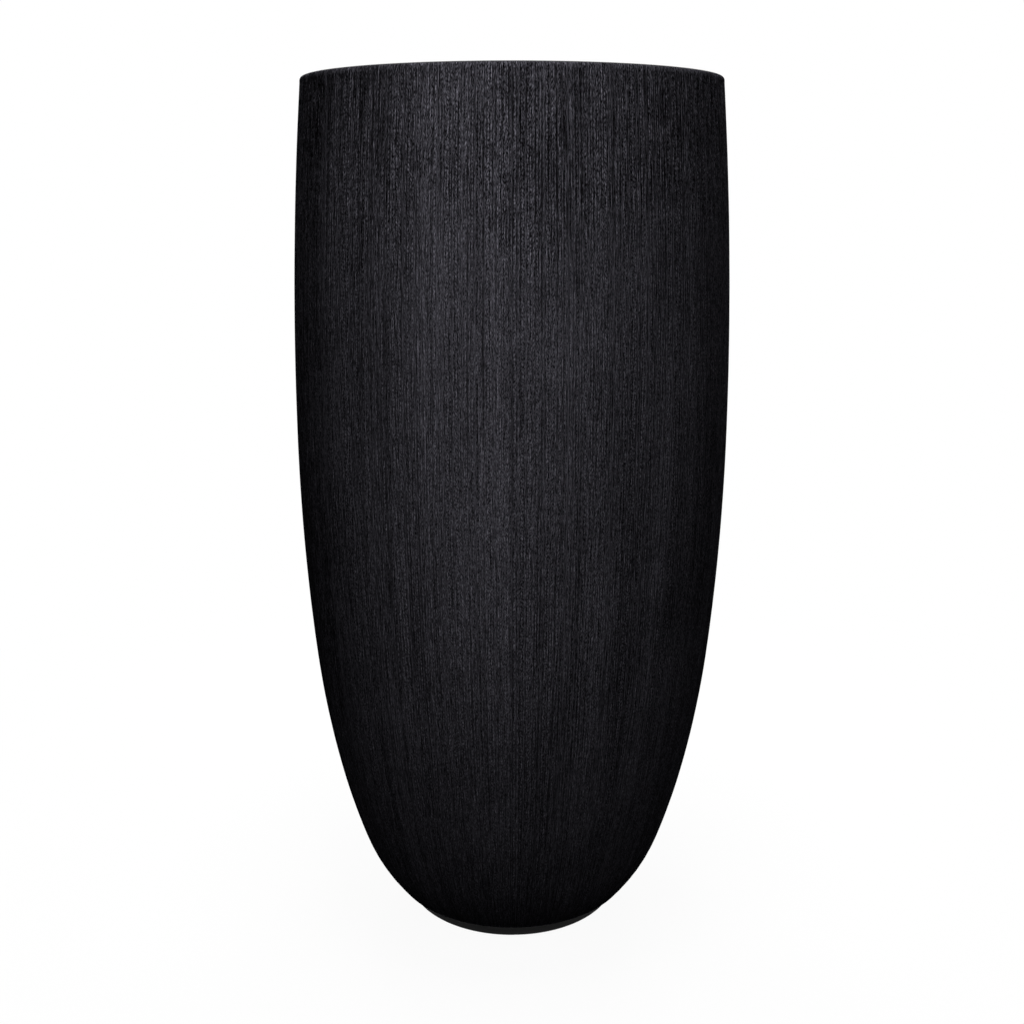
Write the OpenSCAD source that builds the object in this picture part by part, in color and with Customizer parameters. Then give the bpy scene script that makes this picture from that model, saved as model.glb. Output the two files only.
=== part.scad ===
// Tall round concrete planter: a cast wall shell on a cast base slab, with a rubber drain
// plug and four rubber floor pads. Millimetres, +Z up, origin on the floor at the pot's axis.

/* [Outline] */
// Height from the floor to the top of the rim
pot_h = 1000; // [900:5:1100]
// Largest diameter, at the belly, where the wall stands upright
belly_d = 507; // [480:1:540]
// Height of the belly above the floor
belly_z = 600; // [560:5:640]
// Diameter that the outline would reach at the top of the rim if its edge were sharp
rim_d = 469; // [440:1:475]
// Radius of the long curve from the belly down to the haunch
haunch_r = 2710; // [2400:10:3200]
// Height of the haunch, where the curve tightens for the first time
haunch_z = 340; // [310:1:370]
// Radius of the curve from the haunch down to the flank
flank_r = 1215; // [1050:5:1400]
// Height of the flank, where the curve tightens again
flank_z = 190; // [170:1:210]
// Radius of the curve from the flank down to the heel
heel_r = 887; // [750:1:1050]
// Height of the heel, where the short curve of the underside begins
heel_z = 95; // [85:1:110]
// Radius of the short curve from the heel down to the wall's lower edge
edge_r = 225; // [200:1:260]
// Height of the wall's lower edge above the floor
edge_z = 23; // [16:1:28]

/* [Wall and rim] */
// Thickness of the wall
wall_t = 12; // [9:0.5:16]
// Width of the rim's top, from the outline inwards
rim_w = 21; // [18:0.5:28]
// Height of the rim's upright inner face
rim_face_h = 26; // [16:1:40]
// Height over which the rim thins back to the wall
rim_taper_h = 22; // [12:1:40]
// Radius of the rim's two top edges
rim_round = 4; // [2:0.5:5]
// Radius of the wall's lower outer edge
edge_round = 3; // [1.5:0.5:5]

/* [Base slab] */
// Thickness of the slab at its outer edge, above the wall's lower edge
slab_t = 16; // [12:1:24]
// How far the slab's top falls from its edge to the drain
slab_fall = 4; // [2:0.5:6]
// Mortar joint between the slab and the wall
joint_gap = 0.4; // [0.3:0.1:0.8]
// Width of the foot ring that carries the pot
foot_w = 32; // [28:1:40]
// Depth of the hollow inside the foot ring
foot_hollow_h = 10; // [6:0.5:12]
// Radius of the foot ring's edges
foot_round = 2.5; // [1:0.5:4]

/* [Drain and plug] */
// Diameter of the drain hole
drain_d = 28; // [20:1:36]
// Depth of the plug's seat in the slab's top
seat_h = 3; // [2:0.5:5]
// Clearance round the plug in the hole and the seat
plug_gap = 0.3; // [0.3:0.05:0.5]
// How far the plug's flange covers the slab round the hole
flange_lap = 7; // [5:0.5:10]
// Thickness of the plug's flange
flange_t = 4; // [3:0.5:6]
// How far the plug stops short of the slab's underside
plug_short = 2; // [1:0.5:4]
// Height of each sealing bead round the plug
bead_h = 3; // [2:0.5:4]
// How far each sealing bead stands out of the plug's shank
bead_out = 1; // [0.5:0.1:1.5]
// Size of the bevel that leads the shank into the hole
plug_lead = 1.5; // [0.5:0.1:2]
// Radius of the flange's top edge
flange_round = 1.5; // [0.5:0.1:2.5]
// Radius where the neck swells into the flange
neck_cove = 3; // [1:0.5:4]
// Diameter of the knob's neck
neck_d = 12; // [10:0.5:14]
// Height of the knob's neck above the flange
neck_h = 9; // [8:0.5:14]
// Diameter of the knob
knob_d = 22; // [18:1:26]
// Thickness of the knob
knob_t = 8; // [6:0.5:10]
// Diameter of the dimple on the knob
dimple_d = 11; // [6:0.5:12]
// Depth of the dimple on the knob
dimple_h = 1.2; // [0.5:0.1:2]

/* [Floor pads] */
// Number of pads round the foot ring
pad_n = 4; // [3:1:6]
// Diameter of a pad
pad_d = 22; // [16:0.5:24]
// Thickness of a pad
pad_t = 5; // [4:0.5:7]
// How far a pad stands out of the foot ring
pad_out = 2; // [1:0.5:3]
// Clearance round a pad in its pocket
pad_gap = 0.3; // [0.3:0.05:0.6]
// Radius of a pad's lower edge
pad_round = 0.8; // [0.4:0.1:1]

/* [Hidden] */
pad_names = [for (i = [1:pad_n]) str("floor_pad_", i)];

// Longest step along a long curve, fewest sides of a small round and sides of a turned form
curve_step = 6;
round_sides = 48;
turn_sides = 240;
// How far a cut runs past the face that it opens
over = 1;
// Arcs that meet cross each other a little beside their joint, so that no ledge is left there:
// a lower arc reaches up past the joint by blend_h and stands out from the one above by a hair
blend_h = 10;
hair = 0.002;

// Outline above the belly: one arc that leaves the belly upright and meets the rim. Its radius
// is below zero, and its centre outside the wall, where the rim is the wider of the two
belly_r = belly_d / 2;
reach_r = max(belly_d, rim_d) / 2 + over;
crown_rise = pot_h - belly_z;
crown_inset = (belly_d - rim_d) / 2;
crown_r = (crown_rise * crown_rise + crown_inset * crown_inset) / (2 * crown_inset);
crown_centre = [belly_r - crown_r, belly_z];

// Outline below the belly: a chain of arcs, each tangent to the one above it
joint_z = [belly_z, haunch_z, flank_z, heel_z, edge_z];
arc_r = [haunch_r, flank_r, heel_r, edge_r];
last_arc = len(arc_r) - 1;
// Lean of the wall from upright at joint k, its radius there, and the centre of the arc below it
function lean(k) = k == 0 ? 0
    : asin(sin(lean(k - 1)) + (joint_z[k - 1] - joint_z[k]) / arc_r[k - 1]);
function joint_r(k) = k == 0 ? belly_r
    : joint_r(k - 1) - arc_r[k - 1] * (cos(lean(k - 1)) - cos(lean(k)));
function arc_centre(k) = [
    joint_r(k) - arc_r[k] * cos(lean(k)) + (k + 1) * hair, joint_z[k] + arc_r[k] * sin(lean(k))
];

// Radius at height z of a circle in the turned plane, and of the two end arcs set in by inset
function circle_at(centre, r, z) =
    centre[0] + sign(r) * sqrt(r * r - (z - centre[1]) * (z - centre[1]));
function crown_at(z, inset) = circle_at(crown_centre, crown_r - inset, z);
function edge_at(z, inset) = circle_at(arc_centre(last_arc), arc_r[last_arc] - inset, z);
function sides(r) = max(round_sides, ceil(2 * PI * r / curve_step));

// Rim
rim_in_r = rim_d / 2 - rim_w;
rim_face_z = pot_h - rim_face_h;
rim_taper_z = rim_face_z - rim_taper_h;

// Slab, foot ring and drain
slab_inset = wall_t + joint_gap;
slab_top_z = edge_z + slab_t;
slab_r = edge_at(slab_top_z, slab_inset);
slab_slope = slab_fall / (slab_r - drain_d / 2 - flange_lap - plug_gap);
foot_r = edge_at(edge_z, slab_inset) + hair;
foot_z = pad_out;
hollow_r = foot_r - foot_w;
slab_low_z = foot_z + foot_hollow_h;
drain_top_z = slab_top_z - slab_fall;
seat_z = drain_top_z - seat_h;

// Plug, with its beads at these shares of the shank's height
bead_places = [0.3, 0.7];
flange_r = drain_d / 2 + flange_lap;
shank_r = drain_d / 2 - plug_gap - bead_out;
shank_low_z = slab_low_z + plug_short;
shank_h = seat_z - shank_low_z;
bead_r = (bead_h * bead_h / 4 + bead_out * bead_out) / (2 * bead_out);
neck_low_z = seat_z + flange_t;
knob_low_z = neck_low_z + neck_h;
knob_top_z = knob_low_z + knob_t;
dimple_r = (dimple_d * dimple_d / 4 + dimple_h * dimple_h) / (2 * dimple_h);

// Pads
pad_ring_r = foot_r - foot_w / 2;
pocket_h = pad_t - pad_out;

// A full circle in the turned plane
module disc(at, r) {
    translate(at) circle(abs(r), $fn = sides(abs(r)));
}

// What rounding an edge takes away: the corner outside a circle, between two directions
module edge_waste(at, r, from, to) {
    function way(a, length) = length * [cos(a), sin(a)];
    translate(at) difference() {
        polygon([[0, 0], way(from, 2 * r), way((from + to) / 2, 3 * r), way(to, 2 * r)]);
        circle(r + hair, $fn = sides(r));
    }
}

// Everything from the axis out to one arc, between two heights
module arc_band(centre, r, low, high) {
    module band() { translate([0, low]) square([reach_r, high - low]); }
    if (high > low && r > 0) intersection() {
        disc(centre, r);
        band();
    }
    if (high > low && r < 0) difference() {
        band();
        disc(centre, r);
    }
}

// Everything inside the outline set in by inset, between two heights
module outline(inset, low, high) {
    arc_band(crown_centre, crown_r - inset, max(low, belly_z), high);
    for (k = [0:last_arc]) {
        band_low = k == last_arc ? low : joint_z[k + 1] + inset * sin(lean(k + 1));
        band_high = joint_z[k] + inset * sin(lean(k)) + blend_h;
        arc_band(arc_centre(k), arc_r[k] - inset, max(low, band_low), min(high, band_high));
    }
}

// Thickened top of the wall: upright inside, thinning back to the wall below
module rim_section() {
    polygon([
        [rim_in_r, pot_h], [rim_in_r, rim_face_z], [crown_at(rim_taper_z, wall_t), rim_taper_z],
        [crown_at(rim_taper_z, wall_t / 2), rim_taper_z], [crown_at(pot_h, wall_t / 2), pot_h]
    ]);
}

// Rounding of the rim's outer edge, tangent to the outline and to the top
module rim_outer_waste() {
    z = pot_h - rim_round;
    r = crown_at(z, rim_round);
    edge_waste([r, z], rim_round, asin((z - belly_z) / (crown_r - rim_round)), 90);
}

// Rounding of the wall's lower edge, tangent to the outline and to the underside
module lower_edge_waste() {
    z = edge_z + edge_round;
    r = edge_at(z, edge_round);
    lean = asin((z - arc_centre(last_arc)[1]) / (arc_r[last_arc] - edge_round));
    edge_waste([r, z], edge_round, -90, lean);
}

// One casting, from the lower edge to the rim, of even thickness under a thicker rim
module wall_shell() {
    color([0.17, 0.17, 0.19])
    rotate_extrude($fn = turn_sides)
    difference() {
        union() {
            difference() {
                outline(0, edge_z, pot_h);
                outline(wall_t, edge_z - over, pot_h + over);
            }
            rim_section();
        }
        rim_outer_waste();
        edge_waste([rim_in_r + rim_round, pot_h - rim_round], rim_round, 90, 180);
        lower_edge_waste();
    }
}

// Cast slab wedged in the wall's lower end, with the foot ring that shows below it
module base_slab() {
    color([0.23, 0.23, 0.23])
    difference() {
        rotate_extrude($fn = turn_sides)
        difference() {
            union() {
                outline(slab_inset, edge_z, slab_top_z + over);
                translate([0, foot_z]) square([foot_r, edge_z - foot_z + over]);
            }
            // Top, falling to the drain
            polygon([
                [0, drain_top_z], [flange_r + plug_gap, drain_top_z],
                [slab_r + over, slab_top_z + over * slab_slope],
                [slab_r + over, slab_top_z + 2 * over], [0, slab_top_z + 2 * over]
            ]);
            // Plug's seat, drain hole and hollow underside
            translate([0, seat_z]) square([flange_r + plug_gap, slab_fall + seat_h]);
            square([drain_d / 2, pot_h]);
            translate([0, foot_z - over]) square([hollow_r, foot_hollow_h + over]);
            edge_waste([foot_r - foot_round, foot_z + foot_round], foot_round, -90, 0);
            edge_waste([hollow_r + foot_round, foot_z + foot_round], foot_round, 180, 270);
        }
        for (i = [1:pad_n]) at_pad(i)
            translate([0, 0, foot_z - over])
            cylinder(r = pad_d / 2 + pad_gap, h = pocket_h + over, $fn = round_sides);
    }
}

// Shank with its lead-in and two sealing beads
module plug_shank() {
    polygon([
        [0, shank_low_z], [shank_r - plug_lead, shank_low_z], [shank_r, shank_low_z + plug_lead],
        [shank_r, seat_z], [0, seat_z]
    ]);
    for (share = bead_places)
        disc([shank_r + bead_out - bead_r, shank_low_z + share * shank_h], bead_r);
}

// Flange that rests on the seat, its top edge rounded
module plug_flange() {
    difference() {
        translate([0, seat_z]) square([flange_r, flange_t]);
        edge_waste([flange_r - flange_round, neck_low_z - flange_round], flange_round, 0, 90);
    }
}

// Neck that swells into the flange
module plug_neck() {
    difference() {
        translate([0, neck_low_z]) square([neck_d / 2 + neck_cove, knob_t / 2 + neck_h]);
        translate([neck_d / 2, neck_low_z + neck_cove]) square([2 * neck_cove, knob_t + neck_h]);
        disc([neck_d / 2 + neck_cove, neck_low_z + neck_cove], neck_cove);
    }
}

// Knob with a round rim and a dimple on top
module plug_knob() {
    difference() {
        union() {
            translate([0, knob_low_z]) square([(knob_d - knob_t) / 2, knob_t]);
            disc([(knob_d - knob_t) / 2, knob_low_z + knob_t / 2], knob_t / 2);
        }
        disc([0, knob_top_z + dimple_r - dimple_h], dimple_r);
    }
}

// Rubber stopper, turned in one piece, that lifts out of the drain
module drain_plug() {
    color([0.06, 0.06, 0.06])
    rotate_extrude($fn = turn_sides)
    intersection() {
        union() {
            plug_shank();
            plug_flange();
            plug_neck();
            plug_knob();
        }
        square([pot_h, pot_h]);
    }
}

// Puts its children at pad i on the foot ring
module at_pad(i) {
    rotate((i - 0.5) * 360 / pad_n) translate([pad_ring_r, 0, 0]) children();
}

// Rubber pad, let into its pocket in the foot ring
module floor_pad(i) {
    color([0.1, 0.1, 0.1])
    at_pad(i)
    rotate_extrude($fn = turn_sides)
    difference() {
        square([pad_d / 2, pad_t]);
        edge_waste([pad_d / 2 - pad_round, pad_round], pad_round, -90, 0);
    }
}

wall_shell();
base_slab();
drain_plug();
for (i = [1:pad_n]) floor_pad(i);
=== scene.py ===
"""Looks of a tall round planter in combed dark concrete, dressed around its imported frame.

Metres, +Z up, origin on the floor at the pot's axis. The camera stands on the -Y side.
"""

import logging
import math
from collections.abc import Mapping, Sequence
from dataclasses import dataclass, field
from enum import Enum

import bpy
import numpy as np
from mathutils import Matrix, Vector


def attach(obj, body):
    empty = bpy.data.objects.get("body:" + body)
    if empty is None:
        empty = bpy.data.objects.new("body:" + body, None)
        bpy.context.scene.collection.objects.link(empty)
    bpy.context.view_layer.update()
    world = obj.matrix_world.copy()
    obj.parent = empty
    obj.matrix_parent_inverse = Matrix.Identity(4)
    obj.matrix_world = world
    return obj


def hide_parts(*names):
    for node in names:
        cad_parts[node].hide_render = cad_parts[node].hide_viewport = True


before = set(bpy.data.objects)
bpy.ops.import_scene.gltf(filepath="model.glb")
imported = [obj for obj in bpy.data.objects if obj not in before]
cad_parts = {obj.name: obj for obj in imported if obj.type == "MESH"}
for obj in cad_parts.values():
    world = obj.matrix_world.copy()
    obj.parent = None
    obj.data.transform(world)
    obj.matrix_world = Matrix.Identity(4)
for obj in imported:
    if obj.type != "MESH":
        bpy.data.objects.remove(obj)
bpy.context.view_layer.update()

log = logging.getLogger("planter")

Colour = tuple[float, float, float]

MM = 0.001
BELLY_R = 253.5 * MM  # Largest radius of the pot.
WHITE: Colour = (1.0, 1.0, 1.0)
COMB = "comb"  # Attribute of the wall's points: 1 on a land, less in a groove.
BAKE_MAP = "OFBake"  # Map that the wall's finishes are laid out on.


# Shader arithmetic.


class Signal:
    """An output socket of a node, on which arithmetic adds the nodes that carry it out.

    Attributes:
        graph: The node graph that holds the socket.
        socket: The output socket itself.
    """

    def __init__(self, graph: "Graph", socket: bpy.types.NodeSocket) -> None:
        """Wrap one output socket of graph."""
        self.graph = graph
        self.socket = socket

    def _apply(self, operation: str, left: "Operand", right: "Operand") -> "Signal":
        """Add the node that carries out one operation.

        Args:
            operation: Name of the operation, as both Math and Vector Math have it.
            left: First operand.
            right: Second operand.

        Returns:
            The result, a vector if either operand is one.
        """
        flat = all(
            isinstance(side, (int, float))
            or (isinstance(side, Signal) and side.socket.type == "VALUE")
            for side in (left, right)
        )
        kind = "ShaderNodeMath" if flat else "ShaderNodeVectorMath"
        return self.graph.node(kind, {"operation": operation}, {0: left, 1: right})

    def __add__(self, other: "Operand") -> "Signal":
        """Return self + other."""
        return self._apply("ADD", self, other)

    def __radd__(self, other: "Operand") -> "Signal":
        """Return other + self."""
        return self._apply("ADD", other, self)

    def __sub__(self, other: "Operand") -> "Signal":
        """Return self - other."""
        return self._apply("SUBTRACT", self, other)

    def __rsub__(self, other: "Operand") -> "Signal":
        """Return other - self."""
        return self._apply("SUBTRACT", other, self)

    def __mul__(self, other: "Operand") -> "Signal":
        """Return self * other."""
        return self._apply("MULTIPLY", self, other)

    def __rmul__(self, other: "Operand") -> "Signal":
        """Return other * self."""
        return self._apply("MULTIPLY", other, self)

    def __pow__(self, other: "Operand") -> "Signal":
        """Return self to the power of other."""
        return self._apply("POWER", self, other)

    def __rpow__(self, other: "Operand") -> "Signal":
        """Return other to the power of self."""
        return self._apply("POWER", other, self)


Operand = Signal | float | Colour


class Span(Enum):
    """What a pattern runs through."""

    LINE = "1D"
    SHEET = "2D"
    SPACE = "3D"


class Graph:
    """Node graph of one material or world, filled through a single method.

    Attributes:
        tree: The node tree that is filled.
    """

    def __init__(self, owner: bpy.types.Material | bpy.types.World) -> None:
        """Start an empty graph.

        Args:
            owner: Material or world whose nodes it takes the place of.
        """
        owner.use_nodes = True
        self.tree = owner.node_tree
        self.tree.nodes.clear()

    def node(
        self,
        kind: str,
        settings: Mapping[str, object] | None = None,
        inputs: Mapping[str | int, object] | None = None,
        output: str | int = 0,
    ) -> Signal | None:
        """Add a node, set it up, feed its sockets and return one of its outputs.

        Args:
            kind: The node's type.
            settings: Properties to set first.
            inputs: Value or Signal for each input socket, by name or place.
            output: Name or place of the output to return.

        Returns:
            The output as a Signal, or None if the node has none.
        """
        made = self.tree.nodes.new(kind)
        for name, value in (settings or {}).items():
            setattr(made, name, value)
        for name, value in (inputs or {}).items():
            socket = made.inputs[name]
            if isinstance(value, Signal):
                self.tree.links.new(value.socket, socket)
            elif isinstance(value, (int, float)) and hasattr(socket.default_value, "__len__"):
                socket.default_value = [value] * len(socket.default_value)
            elif isinstance(value, tuple) and len(value) < len(socket.default_value):
                socket.default_value = (*value, 1.0)
            else:
                socket.default_value = value
        return Signal(self, made.outputs[output]) if len(made.outputs) else None

    def place(self) -> Signal:
        """Return the place on the object, in metres."""
        return self.node("ShaderNodeTexCoord", output="Object")

    def part(self, place: Signal, axis: str) -> Signal:
        """Return one coordinate of a place, by the letter of its axis."""
        return self.node("ShaderNodeSeparateXYZ", inputs={0: place}, output=axis)

    def unrolled(self, radius: float) -> tuple[Signal, Signal]:
        """Unroll a cylinder round the pot's axis, from the side that faces the camera.

        Args:
            radius: Its radius.

        Returns:
            The way round and the height, in metres.
        """
        place = self.place()
        sides = {0: self.part(place, "X"), 1: 0.0 - self.part(place, "Y")}
        around = self.node("ShaderNodeMath", {"operation": "ARCTAN2"}, sides) * radius
        return around, self.part(place, "Z")

    def noise(
        self, place: Signal, size: float, detail: float = 2.0, span: Span = Span.SPACE
    ) -> Signal:
        """Return soft noise about 0, from -1 to 1.

        Args:
            place: Where the noise is read.
            size: Size of its largest grains, in metres.
            detail: How many finer layers it holds.
            span: What it runs through.

        Returns:
            The noise.
        """
        coordinate = "W" if span is Span.LINE else "Vector"
        raw = self.node(
            "ShaderNodeTexNoise",
            {"noise_dimensions": span.value},
            {coordinate: place, "Scale": 1 / size, "Detail": detail},
        )
        return (raw - 0.5) * 2.0

    def rise(self, value: Signal, low: float, high: float) -> Signal:
        """Return a smooth step of value, from 0 at low to 1 at high."""
        ends = {"Value": value, "From Min": low, "From Max": high}
        return self.node("ShaderNodeMapRange", {"interpolation_type": "SMOOTHSTEP"}, ends)

    def bump(self, height: Signal) -> Signal:
        """Return the surface's normal, bent by a height in metres."""
        inputs = {"Height": height, "Distance": 1.0}
        return self.node("ShaderNodeBump", inputs=inputs, output="Normal")

    def surface(self, inputs: Mapping[str | int, object]) -> None:
        """End the graph in the main shader, with inputs on its sockets."""
        shader = self.node("ShaderNodeBsdfPrincipled", inputs=inputs)
        self.node("ShaderNodeOutputMaterial", inputs={"Surface": shader})


# Finishes.


@dataclass(frozen=True)
class Mark:
    """One kind of mark on the combed wall.

    Attributes:
        width: Its width.
        length: Its length, down the wall.
        show: How strongly it shows in the colour.
        depth: How deep it lies.
        column: Width of the columns that move against each other, in widths of the mark.
        shift: How far they move up or down, in lengths of the mark.
    """

    width: float
    length: float
    show: float = 0.0
    depth: float = 0.0
    column: float = 3.0
    shift: float = 6.0

    def over(self, graph: Graph, radius: float) -> Signal:
        """Lay the mark out over the wall, in columns that are shifted so that no rows show.

        Args:
            graph: The graph that it goes into.
            radius: Radius on which the wall is unrolled.

        Returns:
            Soft noise of the mark's size, from -1 to 1.
        """
        around, height = graph.unrolled(radius)
        stray = graph.noise(around, self.column * self.width, 1.0, Span.LINE)
        along = height * (self.width / self.length) + stray * (self.shift * self.width)
        place = graph.node("ShaderNodeCombineXYZ", inputs={"X": around, "Y": along})
        return graph.noise(place, self.width, 0.0, Span.SHEET)


@dataclass(frozen=True)
class CombedConcrete:
    """Dark, faintly blue concrete, combed upright while it was soft.

    Attributes:
        colour: Colour of the lands between the comb's grooves.
        radius: Radius on which the marks are laid out.
        groove_shade: Painted shade in the deepest grooves: their brightness, as a share of the
            lands'.
        land_limits: Comb values between which a groove's painted shade gives way to a land.
        streak: Fine streaks of the comb, whose colour swing is partly their own tone and partly
            painted glints and shade.
        grain: Drawn sand grains, whose colour swing is partly their own tone and partly painted
            glints and shade.
        drag: Shallow tracks that the grains left.
        band: Faint upright bands.
        score: Single long scores, which show only as painted shade in the colour.
        score_shade: Brightness in a score, as a share of what is round it: painted shade.
        score_limits: Noise values between which a score begins.
        patch: Size of the patches where the comb was pressed less.
        patch_show: How strongly they show in the colour.
        rim_zone: Heights over which the marks and the grooves' painted shade grow stronger
            towards the rim.
        rim_stray: How far a patch moves that zone up or down.
        rim_gain: How much stronger the marks and the grooves' painted shade are at the rim.
        swing: How far the marks swing the colour, and the power that sharpens their bright ends
            into painted glints.
        roughness: Mean roughness.
        roughness_swing: How far the grain changes it.
        specular: Specular level.
    """

    colour: Colour = (0.048, 0.0465, 0.0555)
    radius: float = BELLY_R
    groove_shade: float = 0.4
    land_limits: tuple[float, float] = (0.2, 0.8)
    streak: Mark = Mark(1.35 * MM, 11 * MM, show=1.2, depth=0.15 * MM)
    grain: Mark = Mark(1.35 * MM, 2.4 * MM, show=2.2, depth=0.2 * MM)
    drag: Mark = Mark(3 * MM, 20 * MM, depth=1.1 * MM)
    band: Mark = Mark(60 * MM, 450 * MM, show=0.35)
    score: Mark = Mark(1.5 * MM, 90 * MM)
    score_shade: float = 0.6
    score_limits: tuple[float, float] = (0.2, 0.5)
    patch: float = 110 * MM
    patch_show: float = 0.3
    rim_zone: tuple[float, float] = (800 * MM, 900 * MM)
    rim_stray: float = 160 * MM
    rim_gain: tuple[float, float] = (0.45, 1.1)
    swing: tuple[float, float] = (0.26, 2.6)
    roughness: float = 0.7
    roughness_swing: float = 0.08
    specular: float = 0.0

    def material(self) -> bpy.types.Material:
        """Mix the finish.

        Returns:
            A new material.
        """
        made = bpy.data.materials.new("combed_concrete")
        graph = Graph(made)
        streaks, grain, drag, bands, scores = (
            mark.over(graph, self.radius)
            for mark in (self.streak, self.grain, self.drag, self.band, self.score)
        )
        place = graph.place()
        patches = graph.noise(place, self.patch)
        # Towards the rim the marks swing more and the grooves' painted shade deepens.
        crisp = graph.rise(graph.part(place, "Z") + patches * self.rim_stray, *self.rim_zone)
        crisp_marks, rim_groove_shade = self.rim_gain
        # The fine marks' colour swing is partly the concrete's own tone and partly painted
        # glints and relief shade.
        fine = streaks * self.streak.show + grain * self.grain.show
        coarse = patches * self.patch_show + bands * self.band.show
        marks = fine * (crisp * crisp_marks + 1.0) + coarse
        # Painted shade: the grooves are darkened by their depth, read from the comb attribute.
        comb = graph.node("ShaderNodeAttribute", {"attribute_name": COMB}, output="Fac")
        land = graph.rise(comb, *self.land_limits) * (1 - self.groove_shade) + self.groove_shade
        # Painted shade along the single long scores.
        score_shading = 1.0 - graph.rise(scores, *self.score_limits) * (1 - self.score_shade)
        # Brightness: painted shade in the grooves and scores, times the marks' swing with its
        # painted glints.
        swing, power = self.swing
        tone = (land * score_shading) ** (crisp * rim_groove_shade + 1.0) * (marks * swing + 1.0) ** power
        relief = drag * self.drag.depth + streaks * self.streak.depth + grain * self.grain.depth
        graph.surface({
            "Base Color": tone * self.colour,
            "Roughness": grain * self.roughness_swing + self.roughness,
            "Specular IOR Level": self.specular,
            "Normal": graph.bump(relief),
        })
        return made


@dataclass(frozen=True)
class CastConcrete:
    """Neutral dark concrete as it came out of its mould, with pores that hold painted shade,
    and faint clouds.

    Attributes:
        colour: Mean colour.
        pore: Spacing of the pores.
        pore_limits: Radii between which a pore ends, as shares of that spacing.
        pore_shade: Brightness in a pore, as a share of what is round it: painted shade.
        pore_depth: Depth of a pore.
        grain: Size of the sand grains.
        grain_show: How strongly they show in the colour.
        grain_depth: How far they stand out.
        cloud: Size of the clouds.
        cloud_show: How strongly they show in the colour.
        roughness: Mean roughness.
        roughness_swing: How far the grain changes it.
        specular: Specular level.
    """

    colour: Colour = (0.048, 0.048, 0.049)
    pore: float = 9 * MM
    pore_limits: tuple[float, float] = (0.05, 0.13)
    pore_shade: float = 0.5
    pore_depth: float = 0.25 * MM
    grain: float = 1.4 * MM
    grain_show: float = 0.45
    grain_depth: float = 0.06 * MM
    cloud: float = 60 * MM
    cloud_show: float = 0.35
    roughness: float = 0.72
    roughness_swing: float = 0.06
    specular: float = 0.15

    def material(self) -> bpy.types.Material:
        """Mix the finish.

        Returns:
            A new material.
        """
        made = bpy.data.materials.new("cast_concrete")
        graph = Graph(made)
        place = graph.place()
        spots = {"Vector": place, "Scale": 1 / self.pore}
        distance = graph.node("ShaderNodeTexVoronoi", inputs=spots, output="Distance")
        solid = graph.rise(distance, *self.pore_limits)
        grain = graph.noise(place, self.grain)
        clouds = graph.noise(place, self.cloud, 3.0)
        # Painted shade in the pores.
        tone = solid * (1 - self.pore_shade) + self.pore_shade
        tone = tone * (grain * self.grain_show + 1.0) * (clouds * self.cloud_show + 1.0)
        graph.surface({
            "Base Color": tone * self.colour,
            "Roughness": grain * self.roughness_swing + self.roughness,
            "Specular IOR Level": self.specular,
            "Normal": graph.bump(solid * self.pore_depth + grain * self.grain_depth),
        })
        return made


@dataclass(frozen=True)
class Rubber:
    """Black rubber with a fine moulded grain and a little dust.

    Attributes:
        colour: Colour of the clean rubber.
        grain: Size of the moulded grain.
        grain_show: How strongly it shows in the colour.
        grain_depth: How far it stands out.
        dust: Size of the dusty patches.
        dust_limits: Noise values between which dust begins to lie.
        dust_show: How much lighter it makes the rubber, as a share.
        roughness: Roughness of the clean rubber.
        dust_roughness: How much rougher dust makes it.
        specular: Specular level.
    """

    colour: Colour = (0.016, 0.016, 0.017)
    grain: float = 0.5 * MM
    grain_show: float = 0.15
    grain_depth: float = 0.03 * MM
    dust: float = 9 * MM
    dust_limits: tuple[float, float] = (-0.1, 0.5)
    dust_show: float = 0.8
    roughness: float = 0.55
    dust_roughness: float = 0.18
    specular: float = 0.3

    def material(self) -> bpy.types.Material:
        """Mix the finish.

        Returns:
            A new material.
        """
        made = bpy.data.materials.new("rubber")
        graph = Graph(made)
        place = graph.place()
        grain = graph.noise(place, self.grain, 1.0)
        dust = graph.rise(graph.noise(place, self.dust, 3.0), *self.dust_limits)
        tone = dust * self.dust_show + grain * self.grain_show + 1.0
        graph.surface({
            "Base Color": tone * self.colour,
            "Roughness": dust * self.dust_roughness + self.roughness,
            "Specular IOR Level": self.specular,
            "Normal": graph.bump(grain * self.grain_depth),
        })
        return made


# Turned outline.


@dataclass(frozen=True)
class Arc:
    """One arc of a turned outline.

    Attributes:
        low: Height at which the arc begins.
        radius: Its radius.
        centre: Radius and height of its centre.
    """

    low: float
    radius: float
    centre: tuple[float, float]


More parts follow.
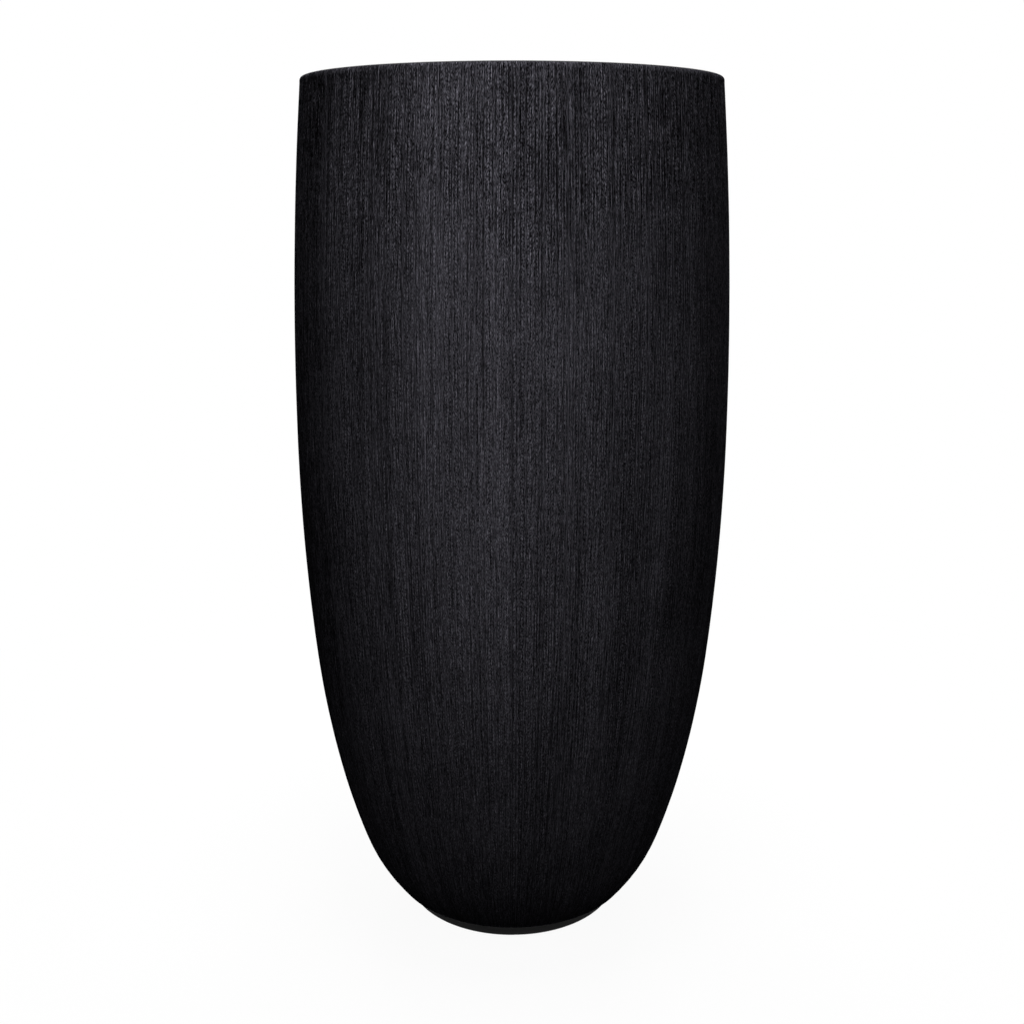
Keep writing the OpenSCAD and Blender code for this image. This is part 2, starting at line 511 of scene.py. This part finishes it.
@dataclass(frozen=True)
class Outline:
    """The pot's turned outline: arcs, each tangent to the one above it.

    Attributes:
        height: Height of the rim.
        belly_r: Largest radius.
        belly_z: Height of the largest radius.
        rim_r: Radius that the outline reaches at the rim's height.
        arc_radii: Radii of the arcs below the belly, from the top down.
        joints: Heights where those arcs end.
    """

    height: float = 1.0
    belly_r: float = BELLY_R
    belly_z: float = 600 * MM
    rim_r: float = 234.5 * MM
    arc_radii: tuple[float, ...] = (2.710, 1.215, 0.887, 0.225)
    joints: tuple[float, ...] = (340 * MM, 190 * MM, 95 * MM, 23 * MM)

    def arcs(self) -> list[Arc]:
        """Work out the arcs, each tangent to the one above it.

        Returns:
            The arcs, from the top down.
        """
        rise, draw = self.height - self.belly_z, self.belly_r - self.rim_r
        crown_r = (rise**2 + draw**2) / (2 * draw)
        chain = [Arc(self.belly_z, crown_r, (self.belly_r - crown_r, self.belly_z))]
        top, reach, sine = self.belly_z, self.belly_r, 0.0
        for low, radius in zip(self.joints, self.arc_radii):
            centre = (reach - radius * math.sqrt(1 - sine**2), top + radius * sine)
            chain.append(Arc(low, radius, centre))
            sine += (top - low) / radius
            reach, top = centre[0] + radius * math.sqrt(1 - sine**2), low
        return chain

    def arc_at(self, z: float) -> Arc:
        """Return the arc that passes height z."""
        return next(arc for arc in self.arcs() if z >= arc.low)

    def point(self, z: float, inset: float = 0.0) -> tuple[float, float]:
        """Find a point of the outline and move it inwards.

        Args:
            z: Height on the outline before it is moved.
            inset: How far it is moved, along its normal.

        Returns:
            Radius and height of the point.
        """
        arc = self.arc_at(z)
        sine = (z - arc.centre[1]) / arc.radius
        reach = arc.radius - inset
        return arc.centre[0] + reach * math.sqrt(1 - sine**2), arc.centre[1] + reach * sine

    def level(self, z: float, inset: float) -> float:
        """Find where the outline, moved inwards, passes a height.

        Args:
            z: The height.
            inset: How far the outline is moved, along its normals.

        Returns:
            The radius there.
        """
        for arc in self.arcs():
            sine = (z - arc.centre[1]) / (arc.radius - inset)
            if arc.centre[1] + arc.radius * sine >= arc.low:
                break
        return arc.centre[0] + (arc.radius - inset) * math.sqrt(1 - sine**2)


# Combed wall.


class Side(Enum):
    """Finish of a band of the wall, as its material slot."""

    COMBED = 0
    CAST = 1


class Join(Enum):
    """Faces that join a ring to the next, as loops of (which ring, points a step, point)."""

    EVEN = (((0, 1, 0), (0, 1, 1), (1, 1, 1), (1, 1, 0)),)
    HALVED = (
        ((0, 2, 0), (0, 2, 1), (1, 1, 0)),
        ((0, 2, 1), (1, 1, 1), (1, 1, 0)),
        ((0, 2, 1), (0, 2, 2), (1, 1, 1)),
    )
    DOUBLED = (
        ((0, 1, 0), (1, 2, 1), (1, 2, 0)),
        ((0, 1, 0), (0, 1, 1), (1, 2, 1)),
        ((0, 1, 1), (1, 2, 2), (1, 2, 1)),
    )

    @classmethod
    def of(cls, here: int, after: int) -> "Join":
        """Choose the join between two rings.

        Args:
            here: Number of points of the first.
            after: Number of points of the next.

        Returns:
            The join.
        """
        if here == after:
            return cls.EVEN
        return cls.HALVED if here > after else cls.DOUBLED


@dataclass(frozen=True)
class Ring:
    """One ring of the wall's skin.

    Attributes:
        points: Places of its points, one row each.
        comb: For each point 1 on a land and less in a groove.
        turns: For each point its share of a full turn.
        side: Finish of the band that leads on to the next ring.
        path: Radius and height that stand for the ring where the map is laid out.
    """

    points: np.ndarray
    comb: np.ndarray
    turns: np.ndarray
    side: Side
    path: tuple[float, float]


def eased(share: np.ndarray) -> np.ndarray:
    """Return shares from 0 to 1, eased in and out."""
    return share * share * (3 - 2 * share)


@dataclass(frozen=True)
class Comb:
    """The comb that drew the wall: irregular grooves, pressed more and less on their way.

    Attributes:
        ribs: Number of lands round the pot, a multiple of 4.
        spread: Spread of their widths, as a share of the mean.
        width_limits: Least and greatest width, as shares of the mean.
        crest_limits: Shares of its width between which a land's crest lies.
        depth: Depth of the shallowest and deepest grooves.
        crest_wear: How far the lands are worn down, at least and at most.
        wander: How far a groove strays sideways.
        beat: Height over which the pressure on a groove changes.
        stray_beat: Height over which it strays.
        patches: Patches of more and less pressure, round the pot and over its height.
        beat_shares: Share of the depth that stays, and share that follows the beat.
        pressure_shares: Share of the depth under no pressure, and share that it adds.
        seed: Seed of all chances.
    """

    ribs: int = 520
    spread: float = 0.18
    width_limits: tuple[float, float] = (0.5, 1.8)
    crest_limits: tuple[float, float] = (0.4, 0.6)
    depth: tuple[float, float] = (0.65 * MM, 0.9 * MM)
    crest_wear: tuple[float, float] = (0.13 * MM, 0.27 * MM)
    wander: float = 0.22 * MM
    beat: float = 24 * MM
    stray_beat: float = 90 * MM
    patches: tuple[int, int] = (22, 14)
    beat_shares: tuple[float, float] = (0.5, 0.5)
    pressure_shares: tuple[float, float] = (0.7, 0.4)
    seed: int = 41

    def turns(self, chance: np.random.Generator) -> np.ndarray:
        """Space the grooves and lands round the pot.

        Args:
            chance: Source of chance.

        Returns:
            Shares of a full turn, from 0 to 1, of grooves and lands in turn.
        """
        width = np.clip(chance.normal(1.0, self.spread, self.ribs), *self.width_limits)
        edges = np.concatenate([[0.0], np.cumsum(width)]) / width.sum()
        crest = edges[:-1] + np.diff(edges) * chance.uniform(*self.crest_limits, self.ribs)
        return np.column_stack([edges[:-1], crest]).ravel()

    def beats(
        self, chance: np.random.Generator, lanes: int, heights: np.ndarray, beat: float
    ) -> np.ndarray:
        """Draw smooth chance along each lane.

        Args:
            chance: Source of chance.
            lanes: Number of lanes.
            heights: Heights at which it is wanted.
            beat: Height between two draws.

        Returns:
            Values from 0 to 1, one row for each height, one column for each lane.
        """
        count = int(heights.max() / beat) + 3
        draws = chance.random((count, lanes))
        start = chance.random(lanes)
        at = heights[:, None] / beat + start
        low = at.astype(int)
        share = eased(at - low)
        lane = np.arange(lanes)
        return draws[low, lane] * (1 - share) + draws[low + 1, lane] * share

    def relief(self, turns: np.ndarray, heights: np.ndarray) -> tuple[np.ndarray, np.ndarray]:
        """Work out how deep each groove and land lies, and how far it strays sideways.

        Args:
            turns: Share of a full turn of each groove and land.
            heights: Heights at which it is wanted.

        Returns:
            Depth and stray in metres, one row for each height, one column for each lane.
        """
        chance = np.random.default_rng(self.seed + 1)
        lane_depth = chance.uniform(*self.depth, len(turns))
        beat = self.beats(chance, len(turns), heights, self.beat)
        stray = self.beats(chance, len(turns), heights, self.stray_beat) * 2 - 1
        pressure = self.pressure(chance, turns, heights)
        even, by_beat = self.beat_shares
        light, by_pressure = self.pressure_shares
        depth = lane_depth * (even + by_beat * beat) * (light + by_pressure * pressure)
        least, most = self.crest_wear
        groove = np.arange(len(turns)) % 2 == 0
        return np.where(groove, depth, least + beat * (most - least)), stray * self.wander

    def pressure(
        self, chance: np.random.Generator, turns: np.ndarray, heights: np.ndarray
    ) -> np.ndarray:
        """Draw the pressure on the comb over the wall.

        Args:
            chance: Source of chance.
            turns: Share of a full turn of each lane.
            heights: Heights at which it is wanted.

        Returns:
            Values from 0 to 1, one row for each height, one column for each lane.
        """
        around, up = self.patches
        rows = self.beats(chance, around, heights, heights.max() / up)
        at = turns * around
        low = at.astype(int)
        share = eased(at - low)
        return rows[:, low % around] * (1 - share) + rows[:, (low + 1) % around] * share


@dataclass
class WallShell:
    """The cast wall with its combed outside, its thick rim and its plain inside.

    Attributes:
        outline: The turned outline.
        comb: The comb that drew its outside.
        wall: Thickness.
        edge_round: Radius of the lower outer edge.
        edge_parts: Number of faces up its rounding.
        rim_round: Radius of the rim's edges.
        rim_parts: Number of faces over each.
        mouth_r: Radius of the rim's upright inner face.
        rim_face_z: Height where that face ends.
        rim_face_bend: Points that soften the bend there, as steps outwards and up from it.
        taper_z: Height where the rim has thinned back to the wall.
        taper_bend: Points that soften that bend.
        step: Height between two rings of the combed outside.
        first_rings: Heights of its lowest rings over its lower end.
        last_rings: Heights of its topmost rings under its upper end.
        half_ring: Height, from either end, of the ring with half the points.
        fade: Height over which the grooves run out, at the lower edge and below the rim.
        combed_rim: Number of the rim's rings that are still combed.
        inside_step: Height between two rings of the inside.
        foot_reach: Width of the ring that closes the wall below.
        map_share: Share of the map's height that the combed outside takes.
        map_gap: Gap on the map beside each half.
    """

    outline: Outline = field(default_factory=Outline)
    comb: Comb = field(default_factory=Comb)
    wall: float = 12 * MM
    edge_round: float = 3 * MM
    edge_parts: int = 4
    rim_round: float = 4 * MM
    rim_parts: int = 6
    mouth_r: float = 213.5 * MM
    rim_face_z: float = 974 * MM
    rim_face_bend: tuple[tuple[float, float], ...] = ((0.0, 2 * MM), (0.3 * MM, -0.5 * MM))
    taper_z: float = 952 * MM
    taper_bend: tuple[tuple[float, float], ...] = ((-0.6 * MM, 1 * MM), (0.0, -1 * MM))
    step: float = 12.5 * MM
    first_rings: tuple[float, ...] = (2 * MM, 3.5 * MM, 5.5 * MM, 9 * MM)
    last_rings: tuple[float, ...] = (9 * MM, 5 * MM, 3 * MM, 1.8 * MM)
    half_ring: float = 1 * MM
    fade: tuple[float, float] = (4 * MM, 3 * MM)
    combed_rim: int = 3
    inside_step: float = 40 * MM
    foot_reach: float = 5 * MM
    map_share: float = 0.62
    map_gap: float = 0.004

    def rounding(
        self, centre: tuple[float, float], radius: float, start: float, end: float, parts: int
    ) -> list[tuple[float, float]]:
        """Lay points along a rounding of an edge.

        Args:
            centre: Radius and height of its centre.
            radius: Its radius.
            start: Direction of the first point, in degrees.
            end: Direction of the last point.
            parts: Number of steps between them.

        Returns:
            Radius and height of each point.
        """
        ways = [math.radians(start + (end - start) * k / parts) for k in range(parts + 1)]
        return [
            (centre[0] + radius * math.cos(way), centre[1] + radius * math.sin(way))
            for way in ways
        ]

    def tangent(self, z: float, inset: float) -> tuple[tuple[float, float], float]:
        """Find the centre of a rounding that touches the outline, and where it does.

        Args:
            z: Height of the centre.
            inset: Radius of the rounding.

        Returns:
            Radius and height of the centre, and the direction of the touch in degrees.
        """
        arc = self.outline.arc_at(z)
        sine = (z - arc.centre[1]) / (arc.radius - inset)
        return (self.outline.level(z, inset), z), math.degrees(math.asin(sine))

    def ring(self, turns: np.ndarray, at: tuple[float, float], side: Side) -> Ring:
        """Make an even ring.

        Args:
            turns: Share of a full turn of each point.
            at: Radius and height.
            side: Finish of the band after the ring.

        Returns:
            The ring.
        """
        angle, level = turns * math.tau, np.full(len(turns), at[1])
        points = np.column_stack([at[0] * np.cos(angle), at[0] * np.sin(angle), level])
        return Ring(points, np.ones(len(turns)), turns, side, at)

    def heights(self, low: float, high: float) -> np.ndarray:
        """Space the combed rings, closer where the grooves run out.

        Args:
            low: Height where the combed skin begins.
            high: Height where it ends.

        Returns:
            Height of each ring, from the bottom up.
        """
        first, last = low + np.array(self.first_rings), high - np.array(self.last_rings)
        count = round((last[0] - first[-1]) / self.step)
        return np.concatenate([first, np.linspace(first[-1], last[0], count + 1)[1:-1], last])

    def combed_rings(
        self, turns: np.ndarray, heights: np.ndarray, ends: tuple[float, float]
    ) -> list[Ring]:
        """Make the rings of the combed outside.

        Args:
            turns: Share of a full turn of each groove and land.
            heights: Height of each ring.
            ends: Heights where the combed skin begins and ends.

        Returns:
            The rings, from the bottom up.
        """
        rise = np.clip((heights - ends[0]) / self.fade[0], 0, 1)
        fall = np.clip((ends[1] - heights) / self.fade[1], 0, 1)
        held = (rise * fall)[:, None]
        depth, stray = (sheet * held for sheet in self.comb.relief(turns, heights))
        rings = []
        for row, z in enumerate(heights):
            # A point one millimetre inside the outline gives the way of its normal.
            outer, inner = self.outline.point(z), self.outline.point(z, MM)
            reach, up = (a + (b - a) * depth[row] / MM for a, b in zip(outer, inner))
            angle = turns * math.tau + stray[row] / outer[0]
            points = np.column_stack([reach * np.cos(angle), reach * np.sin(angle), up])
            comb = 1 - depth[row] / self.comb.depth[1]
            rings.append(Ring(points, comb, turns, Side.COMBED, outer))
        return rings

    def edge_line(self) -> list[tuple[float, float]]:
        """Return the lower outer edge's rounding, from the bottom up."""
        centre, way = self.tangent(self.outline.joints[-1] + self.edge_round, self.edge_round)
        return self.rounding(centre, self.edge_round, -90, way, self.edge_parts)

    def rim_line(self) -> list[tuple[float, float]]:
        """Return the rim's outer rounding, from the outside up to its top."""
        centre, way = self.tangent(self.outline.height - self.rim_round, self.rim_round)
        return self.rounding(centre, self.rim_round, way, 90, self.rim_parts)

    def mouth_line(self) -> list[tuple[float, float]]:
        """Follow the rim from its top down its inner face to the even wall.

        Returns:
            Radius and height of each point.
        """
        centre = (self.mouth_r + self.rim_round, self.outline.height - self.rim_round)
        taper_r = self.outline.level(self.taper_z, self.wall)
        bends = (
            (self.mouth_r, self.rim_face_z, self.rim_face_bend),
            (taper_r, self.taper_z, self.taper_bend),
        )
        return [
            *self.rounding(centre, self.rim_round, 90, 180, self.rim_parts),
            *((reach + out, z + up) for reach, z, bend in bends for out, up in bend),
        ]

    def rings(self) -> list[Ring]:
        """Make all rings: up the outside, over the rim, down the inside and back below.

        Returns:
            The rings, the last of which joins on to the first.
        """
        turns = self.comb.turns(np.random.default_rng(self.comb.seed))
        # Lands only, so that the even rings meet the crests.
        half, quarter, eighth = (turns[1::every] for every in (2, 4, 8))
        edge, rim = self.edge_line(), self.rim_line()
        ends = (edge[-1][1], rim[0][1])
        stack = [
            self.ring(quarter, edge[-1], Side.COMBED),
            self.ring(half, self.outline.point(ends[0] + self.half_ring), Side.COMBED),
            *self.combed_rings(turns, self.heights(*ends), ends),
            self.ring(half, self.outline.point(ends[1] - self.half_ring), Side.COMBED),
        ]
        for k, at in enumerate([*rim, *self.mouth_line()]):
            side = Side.COMBED if k < self.combed_rim else Side.CAST
            stack.append(self.ring(quarter, at, side))
        low = self.outline.joints[-1]
        steps = round((self.taper_z - low) / self.inside_step)
        for z in np.linspace(self.taper_z - self.inside_step / 2, low, steps):
            stack.append(self.ring(eighth, (self.outline.level(z, self.wall), z), Side.CAST))
        stack.append(self.ring(quarter, (edge[0][0] - self.foot_reach, low), Side.CAST))
        return stack + [self.ring(quarter, at, Side.CAST) for at in edge[:-1]]

    def map_bands(self, rings: Sequence[Ring]) -> list[np.ndarray]:
        """Share the map's height out between the bands that join the rings.

        Args:
            rings: The rings.

        Returns:
            The heights on the map of both edges of the band after each ring.
        """
        line = [ring.path for ring in (*rings, rings[0])]
        walk = np.cumsum([0.0] + [math.dist(a, b) for a, b in zip(line, line[1:])])
        combed = 1 + max(k for k, ring in enumerate(rings) if ring.side is Side.COMBED)
        share, gap = self.map_share, self.map_gap
        spans = {
            Side.COMBED: ((0.0, walk[combed]), (gap, share - gap)),
            Side.CAST: ((walk[combed], walk[-1]), (share + gap, 1 - gap)),
        }
        return [np.interp(walk[k : k + 2], *spans[ring.side]) for k, ring in enumerate(rings)]

    def faces(
        self, rings: Sequence[Ring]
    ) -> tuple[list[tuple[int, ...]], list[int], list[float]]:
        """Join each ring to the next, and the last to the first.

        Args:
            rings: The rings, with as many points as the next, twice as many or half.

        Returns:
            Corners of the faces, the material slot of each, and the map's coordinates.
        """
        starts = np.cumsum([0] + [len(ring.points) for ring in rings]).tolist()
        corners, slots, places = [], [], []
        for k, (ring, band) in enumerate(zip(rings, self.map_bands(rings))):
            pair = (ring, rings[(k + 1) % len(rings)])
            first = (starts[k], starts[(k + 1) % len(rings)])
            count = tuple(len(one.points) for one in pair)
            around = [
                np.append(one.turns, 1 + one.turns[0]) * (1 - self.map_gap) for one in pair
            ]
            for part in range(min(count)):
                for loop in Join.of(*count).value:
                    at = [(which, step * part + point) for which, step, point in loop]
                    corners.append(tuple(first[which] + i % count[which] for which, i in at))
                    slots.append(ring.side.value)
                    for which, i in at:
                        places += [around[which][i], band[which]]
        return corners, slots, places

    def build(self) -> bpy.types.Object:
        """Build the wall's mesh.

        Returns:
            The wall's object.
        """
        rings = self.rings()
        corners, slots, places = self.faces(rings)
        mesh = bpy.data.meshes.new("combed_wall")
        mesh.from_pydata(np.concatenate([ring.points for ring in rings]).tolist(), [], corners)
        mesh.polygons.foreach_set("material_index", slots)
        mesh.shade_smooth()
        comb = mesh.attributes.new(COMB, "FLOAT", "POINT")
        comb.data.foreach_set("value", np.concatenate([ring.comb for ring in rings]))
        mesh.uv_layers.new(name=BAKE_MAP).data.foreach_set("uv", places)
        mesh.update()
        wall = bpy.data.objects.new("combed_wall", mesh)
        bpy.context.scene.collection.objects.link(wall)
        return wall

    def dress(
        self, wall: bpy.types.Object, outside: bpy.types.Material, inside: bpy.types.Material
    ) -> None:
        """Give the wall its finishes and its place in the frame.

        Args:
            wall: The wall's object.
            outside: Finish of the combed outside.
            inside: Finish of the rim, the inside and the lower edge.
        """
        wall.data.materials.append(outside)
        wall.data.materials.append(inside)
        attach(wall, "pot")
        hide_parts("wall_shell")


# Pieces kept from the frame.


@dataclass(frozen=True)
class KeptPieces:
    """Pieces of the frame whose shape is right, and which only get a finish.

    Attributes:
        nodes: Names of their nodes.
    """

    nodes: tuple[str, ...]

    def dress(self, finish: bpy.types.Material) -> None:
        """Finish the pieces.

        Args:
            finish: What takes the place of the frame's own finish.
        """
        for name in self.nodes:
            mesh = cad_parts[name].data
            mesh.materials.clear()
            mesh.materials.append(finish)


@dataclass(frozen=True)
class BaseSlab(KeptPieces):
    """The cast slab with the foot ring, wedged into the wall's lower end."""

    nodes: tuple[str, ...] = ("base_slab",)


@dataclass(frozen=True)
class DrainPlug(KeptPieces):
    """The rubber stopper in the drain hole."""

    nodes: tuple[str, ...] = ("drain_plug",)


@dataclass(frozen=True)
class FloorPads(KeptPieces):
    """The rubber pads let into the foot ring."""

    nodes: tuple[str, ...] = tuple(f"floor_pad_{number}" for number in range(1, 5))


# Studio.


@dataclass(frozen=True)
class SoftLamp:
    """One soft lamp of the studio.

    Attributes:
        name: Its name.
        place: Where it hangs.
        aim: What it points at.
        size: Width and height of its face.
        power: Its power in watts.
    """

    name: str
    place: tuple[float, float, float]
    aim: tuple[float, float, float]
    size: tuple[float, float]
    power: float

    def build(self) -> None:
        """Hang the lamp."""
        light = bpy.data.lights.new(self.name, "AREA")
        light.shape = "RECTANGLE"
        light.size, light.size_y = self.size
        light.energy = self.power
        lamp = bpy.data.objects.new(self.name, light)
        lamp.location = self.place
        way = Vector(self.aim) - Vector(self.place)
        lamp.rotation_euler = way.to_track_quat("-Z", "Y").to_euler()
        lamp.visible_camera = False
        bpy.context.scene.collection.objects.link(lamp)


@dataclass(frozen=True)
class Studio:
    """White studio with a pale floor, soft lamps and the camera.

    Attributes:
        lamps: The lamps.
        ambient: Brightness of the surroundings, as they light the pot.
        floor_half: Half the width of the floor.
        floor_tone: Brightness of the floor, as it lights the pot.
        shadow_share: Share of the floor's look near the pot that the lamps make.
        shadow_reach: Distances from the pot's axis over which that share runs out.
        foot_reach: Distances over which it begins, outside the floor that the foot covers.
        camera_place: Where the camera stands.
        camera_pitch: How far it looks down, in degrees.
        lens: Its focal length in millimetres.
        sensor: Its width in millimetres.
    """

    lamps: tuple[SoftLamp, ...] = (
        SoftLamp("key", (-0.04, -0.54, 0.68), (-0.04, 0.0, 0.58), (0.2, 0.85), 1.1),
        SoftLamp("bar", (0.03, -0.6, 1.25), (0.0, 0.0, 0.95), (1.0, 0.15), 1.5),
        SoftLamp("mouth", (0.0, 0.0, 1.02), (0.0, 0.0, 0.0), (0.25, 0.25), 0.5),
        SoftLamp("top", (0.0, -0.2, 4.0), (0.0, 0.0, 1.0), (1.0, 1.0), 90.0),
        SoftLamp("right", (1.6, -0.6, 1.1), (0.0, 0.0, 0.5), (0.8, 0.8), 1.5),
        SoftLamp("back_left", (-0.62, 1.7, 1.3), (0.0, 0.0, 0.5), (0.9, 0.9), 17.0),
        SoftLamp("back_right", (0.62, 1.7, 1.3), (0.0, 0.0, 0.5), (0.9, 0.9), 17.0),
    )
    ambient: float = 0.01
    floor_half: float = 30.0
    floor_tone: float = 0.08
    shadow_share: float = 0.05
    shadow_reach: tuple[float, float] = (0.35, 1.3)
    foot_reach: tuple[float, float] = (0.118, 0.13)
    camera_place: tuple[float, float, float] = (0.0, -1.48814, 0.88919)
    camera_pitch: float = 14.6485
    lens: float = 44.39
    sensor: float = 36.0

    def sees(self, graph: Graph) -> Signal:
        """Tell rays that see the studio from those that carry its light.

        Args:
            graph: The graph that asks.

        Returns:
            1 for rays that see it, which find it white, and 0 for the others.
        """
        path = [
            graph.node("ShaderNodeLightPath", output=f"Is {kind} Ray")
            for kind in ("Camera", "Glossy", "Transmission")
        ]
        return 1.0 - (1.0 - path[0]) * (1.0 - path[1]) * (1.0 - path[2])

    def build_floor(self) -> None:
        """Lay the floor, pale where it is seen and dim in the light that it casts."""
        half = self.floor_half
        mesh = bpy.data.meshes.new("floor")
        corners = [(-half, -half, 0), (half, -half, 0), (half, half, 0), (-half, half, 0)]
        mesh.from_pydata(corners, [], [(0, 1, 2, 3)])
        made = bpy.data.materials.new("pale_floor")
        graph = Graph(made)
        reach = graph.node(
            "ShaderNodeVectorMath", {"operation": "LENGTH"}, {0: graph.place()}, "Value"
        )
        near = 1.0 - graph.rise(reach, *self.shadow_reach)
        under = 1.0 - graph.rise(reach, *self.foot_reach)
        lit = graph.node("ShaderNodeBsdfDiffuse", inputs={"Color": WHITE})
        white = graph.node("ShaderNodeEmission", inputs={"Color": WHITE, "Strength": 1.0})
        dim = graph.node("ShaderNodeBsdfDiffuse", inputs={"Color": (self.floor_tone,) * 3})
        share = near * self.shadow_share + under * (1 - self.shadow_share)
        shown = graph.node("ShaderNodeMixShader", inputs={0: share, 1: white, 2: lit})
        both = graph.node("ShaderNodeMixShader", inputs={0: self.sees(graph), 1: dim, 2: shown})
        graph.node("ShaderNodeOutputMaterial", inputs={"Surface": both})
        mesh.materials.append(made)
        floor = bpy.data.objects.new("floor", mesh)
        bpy.context.scene.collection.objects.link(floor)

    def build_world(self) -> None:
        """Surround the studio with white that lights it only a little."""
        world = bpy.data.worlds.new("studio")
        graph = Graph(world)
        dim, white = (
            graph.node("ShaderNodeBackground", inputs={"Color": WHITE, "Strength": strength})
            for strength in (self.ambient, 1.0)
        )
        both = graph.node("ShaderNodeMixShader", inputs={0: self.sees(graph), 1: dim, 2: white})
        graph.node("ShaderNodeOutputWorld", inputs={"Surface": both})
        bpy.context.scene.world = world

    def build_camera(self) -> None:
        """Stand the camera in its place."""
        lens = bpy.data.cameras.new("camera")
        lens.lens, lens.sensor_width = self.lens, self.sensor
        camera = bpy.data.objects.new("camera", lens)
        camera.location = self.camera_place
        camera.rotation_euler = (math.radians(90 - self.camera_pitch), 0.0, 0.0)
        bpy.context.scene.collection.objects.link(camera)
        bpy.context.scene.camera = camera

    def build(self) -> None:
        """Set up the floor, the surroundings, the lamps and the camera."""
        self.build_floor()
        self.build_world()
        for lamp in self.lamps:
            lamp.build()
        self.build_camera()
        bpy.context.scene.view_settings.view_transform = "Standard"


def main() -> None:
    """Build and dress the planter piece by piece, then the studio round it."""
    logging.basicConfig(level=logging.INFO, format="%(message)s")
    combed, cast = CombedConcrete().material(), CastConcrete().material()
    rubber = Rubber().material()
    shell = WallShell()
    wall = shell.build()
    shell.dress(wall, combed, cast)
    faces = len(wall.data.polygons)
    log.info("%s: %d faces, %d comb grooves", wall.name, faces, shell.comb.ribs)
    for piece, finish in ((BaseSlab(), cast), (DrainPlug(), rubber), (FloorPads(), rubber)):
        piece.dress(finish)
        log.info("%s: %s", ", ".join(piece.nodes), finish.name)
    studio = Studio()
    studio.build()
    log.info("studio: %d lamps", len(studio.lamps))


if __name__ == "__main__":
    main()
